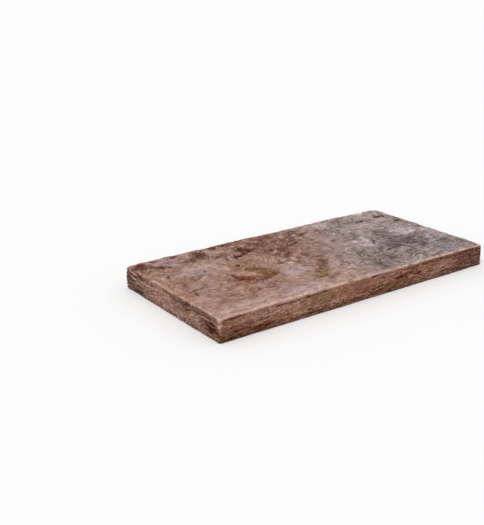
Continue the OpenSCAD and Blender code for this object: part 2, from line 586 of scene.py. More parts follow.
EDGE_MARKS = [
    *FRONT_MARKS,
    *LEFT_END_MARKS,
    # the painted highlight down the front left corner's ridge, where the way round the board starts and ends
    *(Mark(corner, 0.078, 0.022, 0.080, 0, srgb(200, 163, 152), 0.8) for corner in (0, PERIMETER)),
    *splits(21, 44, (0.03, 0.10), (3 * MM, 6 * MM), (0.3, 0.6)),
    *splits(22, 200, (0.014, 0.036), (3.5 * MM, 6 * MM), (0.2, 0.6)),
]


# ---------------- relief and tint of each surface

# The upper face sinks this much towards its two ends.
END_DROP = 2.5 * MM
# The front edge swells up by SWELL in one place, SWELL_X along the board.
SWELL = 2.5 * MM
SWELL_X = -0.18
SWELL_SPREAD = 0.09


def sunk(relief, at, ragged, chosen):
    """The relief with the chosen marks pressed into it, or lifted where their depth is below 0."""
    for mark in chosen:
        near = mark.near(at)
        relief[near] -= mark.depth * mark.share(at[near], ragged[near])
    return relief


def stained(tint, at, ragged, chosen):
    """The tint with the chosen marks over it, in their order."""
    for mark in chosen:
        near = mark.near(at)
        tint[near] = mix(tint[near], mark.colour, mark.strength * mark.share(at[near], ragged[near]))
    return tint


def roughness(at):
    """How pulled about the upper face is, from 0 where it is calm and silky to 1 where it is streaky."""
    rough = 0.25 + 0.75 * smooth(noise(at, 0.12, 55, 2), -0.6, 0.5)
    for area in CALM_AREAS:
        rough = rough * (1 - 0.75 * area.share(at, 0.3 * noise(at, 0.05, 56)))
    return rough


def upper_ragged(at):
    """How much the marks on the upper face are frayed along the fibres."""
    return 0.40 * noise(at, 0.035, 41, 3) + 0.14 * upper_felt.read("wisps", at)


def upper_relief(at):
    """How far the upper face stands above the flat."""
    felt = upper_felt.read("height", at) + 0.35 * MM * upper_felt.read("wisps", at)
    relief = 1.4 * MM * noise(at, 0.22, 1) + 1.3 * MM * noise(at, 0.07, 2, 2)
    relief = relief + (0.35 + 0.65 * roughness(at)) * felt + 0.4 * MM * upper_felt.read("bands", at)
    relief = sunk(relief, at, upper_ragged(at), UPPER_MARKS)
    from_end = LENGTH / 2 - np.abs(at[:, 0])
    relief = relief + END_DROP * smooth(from_end, 0.03, 0.25)
    front = smooth(-at[:, 1], WIDTH / 2 - 0.14, WIDTH / 2)
    return relief + SWELL * front * np.exp(-(((at[:, 0] - SWELL_X) / SWELL_SPREAD) ** 2))


def upper_tint(at):
    """The upper face's colour at each place."""
    rough = roughness(at)
    wisps, bands = upper_felt.read("wisps", at), upper_felt.read("bands", at)
    grey = smooth(at[:, 0] - 0.17 * at[:, 1] + 0.06 * noise(at, 0.12, 51) + 0.02 * bands, -0.06, 0.28)
    warm = smooth(noise(at, 0.11, 52, 2) + 0.2 * bands, -0.6, 0.6)
    tint = mix(mix(PINK, TAN, 0.7 * warm), mix(MAUVE, TAN, 0.25 * warm), grey)
    brown = smooth(0.5 * rough + 0.3 * bands + 0.9 * noise(at, 0.045, 53, 2), 0.6, 1.5)
    tint = mix(tint, mix(BROWN, MAUVE, 0.5 * grey), 0.55 * brown)
    ragged = upper_ragged(at)
    for zone in UPPER_ZONES:
        tint = mix(tint, zone.colour, zone.strength * zone.share(at, 1.1 * ragged))
    tint = stained(tint, at, ragged, UPPER_MARKS)
    # Painted shade: the wool is darker where the felt's tufts lie low.
    low = np.clip(-upper_felt.read("height", at) / MM, -1, 1)
    mottle = 0.045 * noise(at, 0.034, 54, 2) + 0.030 * noise(at, 0.10, 58) + 0.022 * bands
    light = (0.4 + 0.6 * rough) * (0.030 * wisps + 0.018 * upper_felt.read("shade", at) - 0.022 * low)
    return shaded(tint, (1 + 0.6 * grey) * (light + mottle))


def under_relief(at):
    """How far the underside stands below the flat: it lies pressed, so its relief only goes inwards."""
    felt = under_felt.read("height", at) + 0.3 * MM * under_felt.read("wisps", at)
    return -np.clip(1.2 * MM + 0.6 * MM * noise(at, 0.10, 8) - 0.6 * felt, 0, 4 * MM)


def under_tint(at):
    """The underside's colour at each place."""
    wisps, bands = under_felt.read("wisps", at), under_felt.read("bands", at)
    warm = smooth(noise(at, 0.12, 62, 2) + 0.2 * bands, -0.5, 0.5)
    stain = smooth(noise(at, 0.07, 63, 2) + 0.2 * bands, 0.1, 0.8)
    tint = mix(mix(PINK, TAN, warm), BROWN, 0.7 * stain)
    return shaded(tint, 0.025 * wisps + 0.015 * bands + 0.015 * under_felt.read("shade", at))


def edge_ragged(at):
    """How much the marks on the cut edges are frayed along the layers."""
    return 0.25 * noise(at, (0.03, 0.008), 42, 2) + 0.12 * edge_felt.read("wisps", at)


def edge_roughness(at):
    """How open the layers are, from about 0.1 where the knife left them closed to 1.4 where they gape."""
    rough = 0.35 + 1.05 * smooth(noise(at, (0.10, 0.035), 39, 2), -0.5, 0.6)
    for area in EDGE_CALM_AREAS:
        rough = rough * (1 - 0.7 * area.share(at, 0.3 * noise(at, (0.05, 0.02), 40)))
    return rough


def edge_relief(at):
    """How far a cut edge stands out."""
    open_share = 0.3 + 0.7 * edge_roughness(at)
    felt = edge_felt.read("height", at) + 0.35 * MM * edge_felt.read("wisps", at)
    relief = 1.4 * MM * noise(at, (0.22, 0.09), 31) + 0.9 * MM * noise(at, (0.05, 0.012), 32)
    return sunk(relief + open_share * felt, at, edge_ragged(at), EDGE_MARKS)


def edge_tint(at):
    """A cut edge's colour. The ends, which were cut across, are paler and pinker than the long edges."""
    wisps, bands = edge_felt.read("wisps", at), edge_felt.read("bands", at)
    right_end, left_end = LENGTH + WIDTH / 2, 2 * LENGTH + 1.5 * WIDTH
    from_end = np.minimum(np.abs(at[:, 0] - right_end), np.abs(at[:, 0] - left_end))
    end = 1 - smooth(from_end, WIDTH / 2 - 0.02, WIDTH / 2 + 0.02)
    tint = mix(LONG_EDGE, CUT_END, end)
    tint = mix(tint, EDGE_OLIVE, (0.6 - 0.3 * end) * smooth(noise(at, (0.12, 0.035), 34, 2), 0.0, 0.7))
    tint = mix(tint, EDGE_RED, (0.6 - 0.3 * end) * smooth(noise(at, (0.10, 0.03), 37, 2), 0.1, 0.8))
    tint = mix(tint, EDGE_DARK, 0.7 * smooth(bands + 1.2 * noise(at, (0.08, 0.025), 35), 0.7, 2.8))
    tint = mix(tint, EDGE_PALE, 0.7 * smooth(-bands + 1.2 * noise(at, (0.08, 0.025), 36), 0.7, 2.8))
    # Painted shade: the cut edges grow darker towards the bottom.
    lower = smooth(THICKNESS - at[:, 1], 0.3 * THICKNESS, THICKNESS)
    tint = mix(tint, EDGE_DARK, (0.5 - 0.25 * end) * lower)
    tint = stained(tint, at, edge_ragged(at), EDGE_MARKS)
    # Painted shade: the wool is darker where the felt's tufts lie low.
    low = np.clip(-edge_felt.read("height", at) / MM, -1, 1)
    light = 0.036 * wisps + 0.012 * bands + 0.024 * edge_felt.read("shade", at) - 0.034 * low
    return shaded(tint, (0.3 + 0.7 * edge_roughness(at)) * light)


# ---------------- the board's skin

TOP_CELLS = (318, 153)  # both divide by UNDER_STEP
UNDER_STEP = 3  # the wall's cells to each one of the coarser underside
ARRIS_ROWS = 4
WALL_ROWS = 36
FOOT_ROWS = 3
UNDER_INSET = 8 * MM
CORNER_DROP = 2.5 * MM
CORNER_REACH = 0.05
UNDER_ROUGH = 0.8


def grid(inset, cells):
    """Places on a level rectangle with round corners, inset from the board's outline."""
    half = np.array([LENGTH, WIDTH]) / 2 - inset
    lines = [np.linspace(-end, end, count + 1) for end, count in zip(half, cells)]
    at = np.stack(np.meshgrid(*lines, indexing="ij"), -1)
    part = np.clip((np.abs(at) - half + CORNER) / CORNER, 0, 1)
    rounded = half - CORNER + CORNER * part * np.sqrt(1 - part[..., ::-1] ** 2 / 2)
    return np.sign(at) * np.where(part > 0, rounded, np.abs(at))


def settled(places):
    """The places with the corners sunk and drawn in a little towards the top, as soft wool gives there."""
    away = np.hypot(LENGTH / 2 - np.abs(places[..., 0]), WIDTH / 2 - np.abs(places[..., 1]))
    share = (1 - smooth(away, 0, CORNER_REACH)) * np.clip(places[..., 2] / THICKNESS, 0, 1) ** 2
    inwards = np.stack([np.sign(places[..., 0]), np.sign(places[..., 1]), np.full(away.shape, 2.0)], -1)
    return places - 0.5 * CORNER_DROP * share[..., None] * inwards


def rim(values):
    """The values round a grid's rim, from the front left corner along the front edge."""
    return np.concatenate([values[:-1, 0], values[-1, :-1], values[:0:-1, -1], values[0, :0:-1]])


def arc(radius, middle, start, end, count):
    """Rows over an arris whose middle is at that height, between two angles in degrees above the level."""
    for turn in np.radians(np.linspace(start, end, count + 1)[1:]):
        yield radius * (1 - math.cos(turn)), middle + radius * math.sin(turn), math.sin(turn)


def profile():
    """The edge's section from the upper face down to the underside, as (inset, height, lean) rows."""
    top, foot = THICKNESS - UPPER_ARRIS, LOWER_ARRIS
    yield from arc(UPPER_ARRIS, top, 90, 0, ARRIS_ROWS)
    for height in np.linspace(top, foot, WALL_ROWS + 1)[1:]:
        yield 0.0, height, 0.0
    yield from arc(LOWER_ARRIS, foot, 0, -90, FOOT_ROWS)


class Patch:
    """A grid of points on the board's displaced skin, which strands can be laid on."""

    def __init__(self, place, normal, tint, rough, u, v, wraps=False):
        self.place, self.normal, self.tint, self.rough = place, normal, tint, rough
        self.u, self.v, self.wraps = u, v, wraps

    def read(self, u, v):
        """The place, normal and tint at distances u, v along the patch."""
        row = np.interp(u % PERIMETER if self.wraps else u, self.u, np.arange(len(self.u)))
        column = np.interp(v, self.v, np.arange(len(self.v)))
        return [between(values, row, column) for values in (self.place, self.normal, self.tint)]


def rim_fuzz_highlight_share(at):
    """How much of the pale fuzz and its painted highlight along the upper edges there is: most along the
    front, and broken.
    """
    from_side, from_end = WIDTH / 2 - np.abs(at[:, 1]), LENGTH / 2 - np.abs(at[:, 0])
    front = smooth(-at[:, 1], WIDTH / 2 - 0.03, WIDTH / 2 - 0.01)
    reach = UPPER_ARRIS * (2 + 1.2 * front)
    at_edge = 1 - smooth(np.minimum(from_side, from_end), 0.3 * UPPER_ARRIS, reach)
    away_from_corners = smooth(np.hypot(from_side, from_end), 0.06, 0.24)
    share = 0.95 * front + (1 - front) * (0.1 + 0.5 * away_from_corners)
    return at_edge * share * smooth(noise(at, 0.05, 57, 3), -0.5 - 0.6 * front, 0.3)


def rim_fuzz_highlight_tint(at):
    """The upper face's colour with the pale fuzz and its painted highlight over it."""
    return mix(upper_tint(at), RIM_FUZZ_HIGHLIGHT, rim_fuzz_highlight_share(at))


def flat(values):
    """A grid's rows of numbers as one long list of rows."""
    return values.reshape(-1, values.shape[-1])


def face_patch(at, height, normal, tint, rough):
    """A patch for a level face from its places and, for each as a list, the height, tint and roughness."""
    columns, rows = at.shape[:2]
    place = np.dstack([at, height.reshape(columns, rows)])
    normals = np.broadcast_to(normal, place.shape)
    tint, rough = tint.reshape(place.shape), rough.reshape(columns, rows)
    return Patch(place, normals, tint, rough, at[:, (rows - 1) // 2, 0], at[(columns - 1) // 2, :, 1])


def upper_patch():
    """The skin of the upper face, inside its arris."""
    at = grid(UPPER_ARRIS, TOP_CELLS)
    places = flat(at)
    height = THICKNESS + upper_relief(places)
    return face_patch(at, height, [0.0, 0.0, 1.0], rim_fuzz_highlight_tint(places), roughness(places))


def under_patch():
    """The skin of the underside, inside its arris and the seam round it."""
    at = grid(LOWER_ARRIS + UNDER_INSET, [cells // UNDER_STEP for cells in TOP_CELLS])
    places = flat(at)
    rough = np.full(len(places), UNDER_ROUGH)
    return face_patch(at, -under_relief(places), [0.0, 0.0, -1.0], under_tint(places), rough)


def round_distances():
    """The distance round the board to each column of the wall, and to the first one again."""
    at = rim(grid(0, TOP_CELLS))
    steps = np.linalg.norm(np.roll(at, -1, 0) - at, axis=1)
    distances = np.concatenate([[0], np.cumsum(steps)])
    return distances * (PERIMETER / distances[-1])


def outward(at, lean):
    """The directions out of the board from places in a row round it. lean is how far they point up."""
    along = np.roll(at, -1, 0) - np.roll(at, 1, 0)
    along /= np.linalg.norm(along, axis=1)[:, None]
    level_part = math.sqrt(1 - lean * lean)
    return np.column_stack([along[:, 1] * level_part, -along[:, 0] * level_part, np.full(len(at), lean)])


def wall_looks(at, on_edge, lean):
    """The relief, tint and roughness of a row round the board, which become the faces' over the arrises."""
    relief, tint = edge_relief(on_edge), edge_tint(on_edge)
    rough = 0.55 + 1.35 * edge_roughness(on_edge)
    if lean > 0:
        share = smooth(lean, 0.1, 1.0)
        relief = relief * (1 - share) + upper_relief(at) * share
        rough = rough * (1 - share) + roughness(at) * share
        tint = mix(tint, rim_fuzz_highlight_tint(at), smooth(lean, 0.40, 0.85))
    if lean < 0:
        relief = relief * (1 + lean) + under_relief(at) * -lean
        tint = mix(tint, under_tint(at), -lean)
    return relief, tint, rough


def wall_patch(upper):
    """The skin from the rim of the upper face, down over the arris and the cut edge to the underside."""
    distances = round_distances()
    columns = [[rim(values)] for values in (upper.place, upper.normal, upper.tint, upper.rough)]
    down = [0.0]
    before = (UPPER_ARRIS, THICKNESS)
    for inset, height, lean in profile():
        at = rim(grid(inset, TOP_CELLS))
        heights = np.full(len(at), height)
        normal = outward(at, lean)
        relief, tint, rough = wall_looks(at, np.column_stack([distances[:-1], heights]), lean)
        place = np.column_stack([at, heights]) + normal * relief[:, None]
        place[:, 2] = np.maximum(place[:, 2], 0)
        for column, values in zip(columns, (place, normal, tint, rough)):
            column.append(values)
        down.append(down[-1] + math.dist(before, (inset, height)))
        before = (inset, height)
    stacked = [np.stack(column, 1) for column in columns]
    closed = [np.concatenate([values, values[:1]]) for values in stacked]
    return Patch(*closed, distances, np.array(down), wraps=True)


# ---------------- meshes

def make_mesh(name, places, faces, uv, colours, **attributes):
    """A smooth mesh with its bake map, its tint and other attributes of one number for each point."""
    mesh = bpy.data.meshes.new(name)
    mesh.from_pydata(places, [], faces)
    mesh.uv_layers.new(name="OFBake").uv.foreach_set("vector", uv.astype(np.float32).ravel())
    tint = mesh.color_attributes.new("tint", "FLOAT_COLOR", "POINT")
    opaque = np.column_stack([colours, np.ones(len(colours))])
    tint.data.foreach_set("color", opaque.astype(np.float32).ravel())
    for key, values in attributes.items():
        mesh.attributes.new(key, "FLOAT", "POINT").data.foreach_set("value", values.astype(np.float32))
    mesh.shade_smooth()
    mesh.validate()
    piece = bpy.data.objects.new(name, mesh)
    bpy.context.collection.objects.link(piece)
    return piece


def numbered(start, points):
    """The vertex numbers of a grid of points, from start."""
    return start + np.arange(points[..., 0].size).reshape(points.shape[:2])


def corners(values):
    """The four corners of each cell of a grid, in turn, as (columns, rows, 4, …)."""
    return np.stack([values[:-1, :-1], values[1:, :-1], values[1:, 1:], values[:-1, 1:]], 2)


def quads(numbers):
    """The faces of a grid of vertex numbers, turned so that they face along first axis x second axis."""
    return corners(numbers).reshape(-1, 4)


def corner_uv(uv):
    """A grid's map places for the corners of its quads, in the order of quads."""
    return corners(uv).reshape(-1, 2)


def into(box, share):
    """Shares from 0 to 1 as places in a box (left, bottom, right, top) of the bake map."""
    return np.array(box[:2]) + share * (np.array(box[2:]) - box[:2])


UPPER_BOX = (0.004, 0.548, 0.996, 0.996)
UNDER_BOX = (0.004, 0.286, 0.996, 0.540)
EDGE_BOXES = (
    (0.004, 0.192, 0.996, 0.278),  # front
    (0.004, 0.004, 0.496, 0.090),  # right end
    (0.004, 0.098, 0.996, 0.184),  # back
    (0.504, 0.004, 0.996, 0.090),  # left end
)


def plan_share(at):
    """Places on the board's plan as shares of its length and width."""
    return (at - LOW[:2]) / (HIGH - LOW)[:2]


def seam(foot, inner):
    """The corners of the faces that join the wall's foot to the rim of the underside.

    To each cell of that rim there are three at the foot, so a triangle, a quad and a triangle fill the gap.
    """
    fine = [foot[start::UNDER_STEP] for start in range(UNDER_STEP)]
    next_foot, next_inner = np.roll(fine[0], -1, 0), np.roll(inner, -1, 0)
    yield fine[1], fine[0], inner
    yield fine[2], fine[1], inner, next_inner
    yield next_foot, fine[2], next_inner


def board_mesh(upper, wall, under):
    """One closed mesh: the upper face, the wall round it and the coarser underside."""
    lower = wall.place[:-1, 1:]
    upper_ids = numbered(0, upper.place)
    lower_ids = numbered(upper_ids.size, lower)
    under_ids = numbered(upper_ids.size + lower_ids.size, under.place)
    wall_ids = np.column_stack([rim(upper_ids), lower_ids])
    wall_ids = np.concatenate([wall_ids, wall_ids[:1]])

    faces = [quads(upper_ids)]
    uv = [corner_uv(into(UPPER_BOX, plan_share(upper.place[..., :2])))]
    ends = np.cumsum([0, *TOP_CELLS, *TOP_CELLS])
    for box, start, end in zip(EDGE_BOXES, ends, ends[1:]):
        faces.append(quads(wall_ids[start:end + 1][:, ::-1]))
        along = np.linspace(0, 1, end - start + 1)
        down = 1 - wall.v[::-1] / wall.v[-1]
        share = np.stack(np.meshgrid(along, down, indexing="ij"), -1)
        uv.append(corner_uv(into(box, share)))
    under_at = under.place[..., :2]
    seam_ids = seam(wall_ids[:-1, -1], rim(under_ids))
    seam_at = seam(rim(grid(LOWER_ARRIS, TOP_CELLS)), rim(under_at))
    for ids, at in zip(seam_ids, seam_at):
        faces.append(np.stack(ids, -1))
        uv.append(into(UNDER_BOX, plan_share(np.stack(at, 1).reshape(-1, 2))))
    faces.append(quads(under_ids)[:, ::-1])
    under_uv = corner_uv(into(UNDER_BOX, plan_share(under_at)))
    uv.append(under_uv.reshape(-1, 4, 2)[:, ::-1].reshape(-1, 2))
    face_list = [face for block in faces for face in block.tolist()]

    places = np.concatenate([flat(upper.place), flat(lower), flat(under.place)])
    tints = np.concatenate([flat(upper.tint), flat(wall.tint[:-1, 1:]), flat(under.tint)])
    rough = np.concatenate([upper.rough.ravel(), wall.rough[:-1, 1:].ravel(), under.rough.ravel()])
    lean = np.abs(wall.normal[:-1, 1:, 2])
    lay = np.concatenate([np.ones(upper_ids.size), lean.ravel(), np.ones(under_ids.size)])
    is_under = np.arange(len(places)) >= upper_ids.size + lower_ids.size
    at = places[:, :2]
    heading = np.where(is_under, under_felt.read("heading", at), upper_felt.read("heading", at))
    attributes = {"lay": lay, "heading": heading, "rough": rough}
    return make_mesh("wool_mat", places, face_list, np.concatenate(uv), tints, **attributes)


# ---------------- strands of wool

STRAND_SIDES = 3
STRANDS_IN_LOCK = 6
# How much the locks differ from each other, and the strands in one lock: the turn in radians, the bend in
# radians a metre, the place in metres, and the light as a share of a screen's range.
LOCK_BEND, LOCK_LIGHT = 9, 0.025
STRAND_TURN, STRAND_BEND, STRAND_LIGHT = 0.22, 6, 0.03
STRAND_PLACE = 3.2 * MM
STRAND_WAVE = 0.5 * MM  # how far a strand's points stray from its even bend
# How high a strand stands at its five points, as shares of its lift: its ends go down into the wool.
STRAND_ARCH = (-0.6, 0.5, 1.0, 0.5, -0.6)
FREE_ENDS = 0.12  # the share of strands that have one end up in the air
STRANDS_IN_CURL = 9
POINTS_IN_CURL = 12
CURL_TURN = 12  # how much the strands' ends differ in bearing, in degrees
CURL_LIGHT = 0.13  # how much lighter a curl is, at most, as a share of a screen's range
# A cap's three corners lie in a line on the bake map, so the middle one is pushed out by this.
CAP_BULGE = np.array([[0.0, 0.0], [0.04, 0.0], [0.0, 0.0]])


def strand_uv(count, points):
    """The bake map of strands, each in its own square: all tubes, all start caps and all end caps."""
    wide = math.ceil(math.sqrt(count))
    cell = np.stack([np.arange(count) % wide, np.arange(count) // wide], -1) / wide
    lines = np.linspace(0.1, 0.9, points), np.linspace(0.1, 0.9, STRAND_SIDES + 1)
    share = np.stack(np.meshgrid(*lines, indexing="ij"), -1)
    tube = np.stack([share[:-1, :-1], share[:-1, 1:], share[1:, 1:], share[1:, :-1]], 2).reshape(-1, 2)
    start, end = share[0, STRAND_SIDES - 1::-1] - CAP_BULGE, share[-1, :STRAND_SIDES] + CAP_BULGE
    return np.concatenate([(cell[:, None] + part / wide).reshape(-1, 2) for part in (tube, start, end)])


def strand_mesh(name, paths, normals, radii, colours):
    """Thin closed strands along paths (strands, points, 3), tapered to their ends."""
    count, points = paths.shape[:2]
    along = np.gradient(paths, axis=1)
    along /= np.linalg.norm(along, axis=2)[..., None] + 1e-12
    side = np.cross(along, normals)
    side /= np.linalg.norm(side, axis=2)[..., None] + 1e-12
    out = np.cross(side, along)
    taper = 0.35 + 0.65 * np.sqrt(1 - np.linspace(-1, 1, points) ** 2)
    thick = (radii[:, None] * taper)[..., None]
    rings = []
    for turn in np.arange(STRAND_SIDES) * 2 * math.pi / STRAND_SIDES + math.pi / 2:
        rings.append(paths + thick * (math.cos(turn) * side + math.sin(turn) * out))
    places = np.stack(rings, 2)

    ids = np.arange(count * points * STRAND_SIDES).reshape(count, points, STRAND_SIDES)
    after = np.roll(ids, -1, axis=2)
    tube = np.stack([ids[:, :-1], after[:, :-1], after[:, 1:], ids[:, 1:]], -1)
    faces = [*flat(tube).tolist(), *ids[:, 0, ::-1].tolist(), *ids[:, -1].tolist()]
    point_colours = np.repeat(flat(colours), STRAND_SIDES, axis=0)
    return make_mesh(name, flat(places), faces, strand_uv(count, points), point_colours)


def strands(name, patch, locks, area, heading, length, radius, lift, seed):
    """Strands lying on a patch, in locks of a few that run side by side. area is (low, high) on the patch."""
    rng = np.random.default_rng(seed)
    lock_at = rng.uniform(*area, (locks, 2))
    lock_turn = heading(lock_at)
    lock_bend = rng.normal(0, LOCK_BEND, locks)
    lock_light = rng.normal(0, LOCK_LIGHT, locks)
    lock_length = rng.uniform(*length, locks)

    def each(values):
        return np.repeat(values, STRANDS_IN_LOCK, axis=0)

    count = locks * STRANDS_IN_LOCK
    turn = each(lock_turn) + rng.normal(0, STRAND_TURN, count)
    bend = each(lock_bend) + rng.normal(0, STRAND_BEND, count)
    size = each(lock_length) * rng.uniform(0.6, 1.25, count)
    middle = each(lock_at) + rng.normal(0, STRAND_PLACE, (count, 2))
    step = np.linspace(-0.5, 0.5, len(STRAND_ARCH)) * size[:, None]
    bearing = turn[:, None] + bend[:, None] * step / 2
    at = middle[:, None] + step[..., None] * np.stack([np.cos(bearing), np.sin(bearing)], -1)
    at += rng.normal(0, STRAND_WAVE, at.shape)
    place, normal, tint = patch.read(at[..., 0], at[..., 1])
    thick = radius[0] + (radius[1] - radius[0]) * rng.random(count) ** 2.5
    arch = np.array(STRAND_ARCH) * rng.uniform(*lift, count)[:, None]
    free_end = rng.random(count) < FREE_ENDS
    arch[free_end, -1] = arch[free_end, 2] * rng.uniform(1, 3, free_end.sum())
    paths = place + normal * (arch + 0.3 * thick[:, None])[..., None]
    paths[..., 2] = np.maximum(paths[..., 2], thick[:, None])
    light = each(lock_light) + rng.normal(0.005, STRAND_LIGHT, count)
    return strand_mesh(name, paths, normal, thick, shaded(tint, light[:, None]))


# Each curl is a lock bent round (x, y) at that radius, from one bearing to another, in degrees.
CURLS = [
    (0.500, -0.020, 0.030, 20, 200),
    (0.535, 0.000, 0.022, -60, 120),
    (0.475, 0.010, 0.018, 90, 290),
    (0.560, -0.030, 0.026, 100, 230),
    (0.515, 0.268, 0.024, 20, 170),
    (0.300, 0.060, 0.030, 200, 330),
    (-0.110, -0.015, 0.022, 40, 240),
    (-0.070, 0.000, 0.020, -90, 90),
    (-0.350, 0.010, 0.034, 230, 340),
    (-0.365, 0.140, 0.018, 60, 230),
    (0.060, 0.235, 0.024, 30, 190),
    (0.330, -0.165, 0.022, 0, 200),
]


def curl_strands(name, patch, seed):
    """Locks of loose wool that have curled up on the upper face."""
    rng = np.random.default_rng(seed)
    centre_x, centre_y, radius, first, last = np.repeat(CURLS, STRANDS_IN_CURL, axis=0).T
    count, steps = len(radius), np.linspace(0, 1, POINTS_IN_CURL)
    first, last = (np.radians(end + rng.normal(0, CURL_TURN, count)) for end in (first, last))
    bearing = first[:, None] + (last - first)[:, None] * steps
    reach = (radius * rng.uniform(0.82, 1.12, count))[:, None] * (0.9 + 0.2 * steps)
    at_x = centre_x[:, None] + reach * np.cos(bearing)
    at_y = centre_y[:, None] + reach * np.sin(bearing)
    place, normal, tint = patch.read(at_x, at_y)
    thick = rng.uniform(0.5 * MM, 0.9 * MM, count)
    lift = rng.uniform(0.3 * MM, 1.6 * MM, count)[:, None] * np.sin(0.2 + (math.pi - 0.4) * steps)
    light = CURL_LIGHT * rng.uniform(0.5, 1.0, count)[:, None]
    return strand_mesh(name, place + normal * lift[..., None], normal, thick, shaded(tint, light))


# ---------------- materials

# How far the fibres' relief darkens and lightens the wool, as shares of a screen's range
MAT_SHADES = (-0.27, 0.15)
STRAND_SHADES = (-0.045, 0.045)
WOOL_SHEEN = {"Specular IOR Level": 0.03, "Sheen Weight": 0.02, "Sheen Roughness": 0.6}
WOOL_BUMP = {"Distance": 2.2 * MM, "Strength": 0.9}


def node(tree, kind, inputs=None, **settings):
    """Adds a node. An input that is a socket is linked, and any other is set."""
    made = tree.nodes.new(kind)
    for key, value in settings.items():
        setattr(made, key, value)
    for key, value in (inputs or {}).items():
        if isinstance(value, bpy.types.NodeSocket):
            tree.links.new(value, made.inputs[key])
        else:
            made.inputs[key].default_value = value
    return made


def maths(tree, operation, *values, **settings):
    inputs = dict(enumerate(values))
    return node(tree, "ShaderNodeMath", inputs, operation=operation, **settings).outputs[0]


def vector(tree, operation, *values):
    return node(tree, "ShaderNodeVectorMath", dict(enumerate(values)), operation=operation).outputs[0]


def texture(tree, where, scale, detail=2.0, rough=0.5):
    inputs = {"Vector": where, "Scale": scale, "Detail": detail, "Roughness": rough}
    return node(tree, "ShaderNodeTexNoise", inputs).outputs


def stretched(tree, where, scales, detail, rough):
    """Noise with its own scale along each axis."""
    return texture(tree, vector(tree, "MULTIPLY", where, scales), 1.0, detail, rough)["Fac"]


def attribute(tree, name, output="Fac"):
    return node(tree, "ShaderNodeAttribute", attribute_name=name).outputs[output]


def spread(tree, value, low, high, new_low=0.0, new_high=1.0, clamp=True):
    """The value moved from the range low to high to a new range."""
    inputs = {"Value": value, "From Min": low, "From Max": high, "To Min": new_low, "To Max": new_high}
    return node(tree, "ShaderNodeMapRange", inputs, clamp=clamp).outputs[0]


def shifted_colour(tree, colour, shift):
    """The colour with the same share of a screen's range added to all three channels, as in shaded."""
    shown = node(tree, "ShaderNodeGamma", {"Color": colour, "Gamma": 1 / SCREEN}).outputs[0]
    moved = vector(tree, "MAXIMUM", vector(tree, "ADD", shown, shift), DARKEST)
    return node(tree, "ShaderNodeGamma", {"Color": moved, "Gamma": SCREEN}).outputs[0]


def blend(tree, share, first, second, kind="FLOAT"):
    """The share of the way from first to second, which are numbers, or colours where kind is RGBA."""
    first_at, second_at, output = {"RGBA": (6, 7, 2), "FLOAT": (2, 3, 0)}[kind]
    inputs = {0: share, first_at: first, second_at: second}
    return node(tree, "ShaderNodeMix", inputs, data_type=kind).outputs[output]


def combed(tree, where, heading, cell_scale, stretch):
    """Fibres drawn along the heading, in patches that are each turned and shifted a little."""
    cell_inputs = {"Vector": where, "Scale": cell_scale}
    cells = node(tree, "ShaderNodeTexVoronoi", cell_inputs, voronoi_dimensions="2D").outputs
    turn = maths(tree, "MULTIPLY_ADD", cells["Color"], -2.0, 1.0)
    turn = maths(tree, "SUBTRACT", turn, heading)
    local = vector(tree, "SUBTRACT", where, cells["Position"])
    turned = node(tree, "ShaderNodeVectorRotate", {"Vector": local, "Angle": turn}, rotation_type="Z_AXIS")
    drawn = vector(tree, "MULTIPLY", turned.outputs[0], stretch)
    shift = node(tree, "ShaderNodeVectorMath", {0: cells["Color"], "Scale": 40.0}, operation="SCALE")
    return texture(tree, vector(tree, "ADD", drawn, shift.outputs[0]), 1.0, 3.0, 0.6)["Fac"]


def felt_streaks(tree, where):
    """Fine fibres on the faces, from broad locks to single strands."""
    heading = attribute(tree, "heading")
    wander = texture(tree, where, 26.0)["Color"]
    pushed = vector(tree, "MULTIPLY_ADD", wander, (0.05,) * 3, where)
    broad = combed(tree, pushed, heading, 19.0, (46.0, 150.0, 1.0))
    middle = combed(tree, pushed, heading, 31.0, (70.0, 290.0, 1.0))
    fine = combed(tree, pushed, heading, 53.0, (120.0, 800.0, 1.0))
    mottle = texture(tree, where, 70.0, 3.0, 0.6)["Fac"]
    fibres = blend(tree, 0.4, blend(tree, 0.5, broad, middle), fine)
    return blend(tree, 0.35, fibres, mottle)


def layer_streaks(tree, where):
    """Fine fibres that lie level on the cut edges, among short flecks and small dark holes."""
    wander = texture(tree, where, 9.0)["Color"]
    pushed = vector(tree, "MULTIPLY_ADD", wander, (0.0, 0.0, 0.022), where)
    fibres = stretched(tree, pushed, (45.0, 45.0, 420.0), 3.0, 0.65)
    flecks = stretched(tree, pushed, (110.0, 110.0, 230.0), 2.0, 0.55)
    holes = stretched(tree, pushed, (46.0, 46.0, 250.0), 2.0, 0.6)
    depth = spread(tree, holes, 0.60, 0.74, 0.0, 0.26)
    return maths(tree, "SUBTRACT", blend(tree, 0.5, fibres, flecks), depth)


def new_material(name):
    """A new material, with its node tree, the place on the object and the wool's tint there."""
    material = bpy.data.materials.new(name)
    material.use_nodes = True
    tree = material.node_tree
    where = node(tree, "ShaderNodeTexCoord").outputs["Object"]
    return material, tree, where, attribute(tree, "tint", "Color")


def wool_shader(tree, colour, rough):
    """Sets the shader up as dull wool of that colour and roughness, and returns its inputs."""
    inputs = tree.nodes["Principled BSDF"].inputs
    tree.links.new(colour, inputs["Base Color"])
    tree.links.new(rough, inputs["Roughness"])
    for key, value in WOOL_SHEEN.items():
        inputs[key].default_value = value
    return inputs


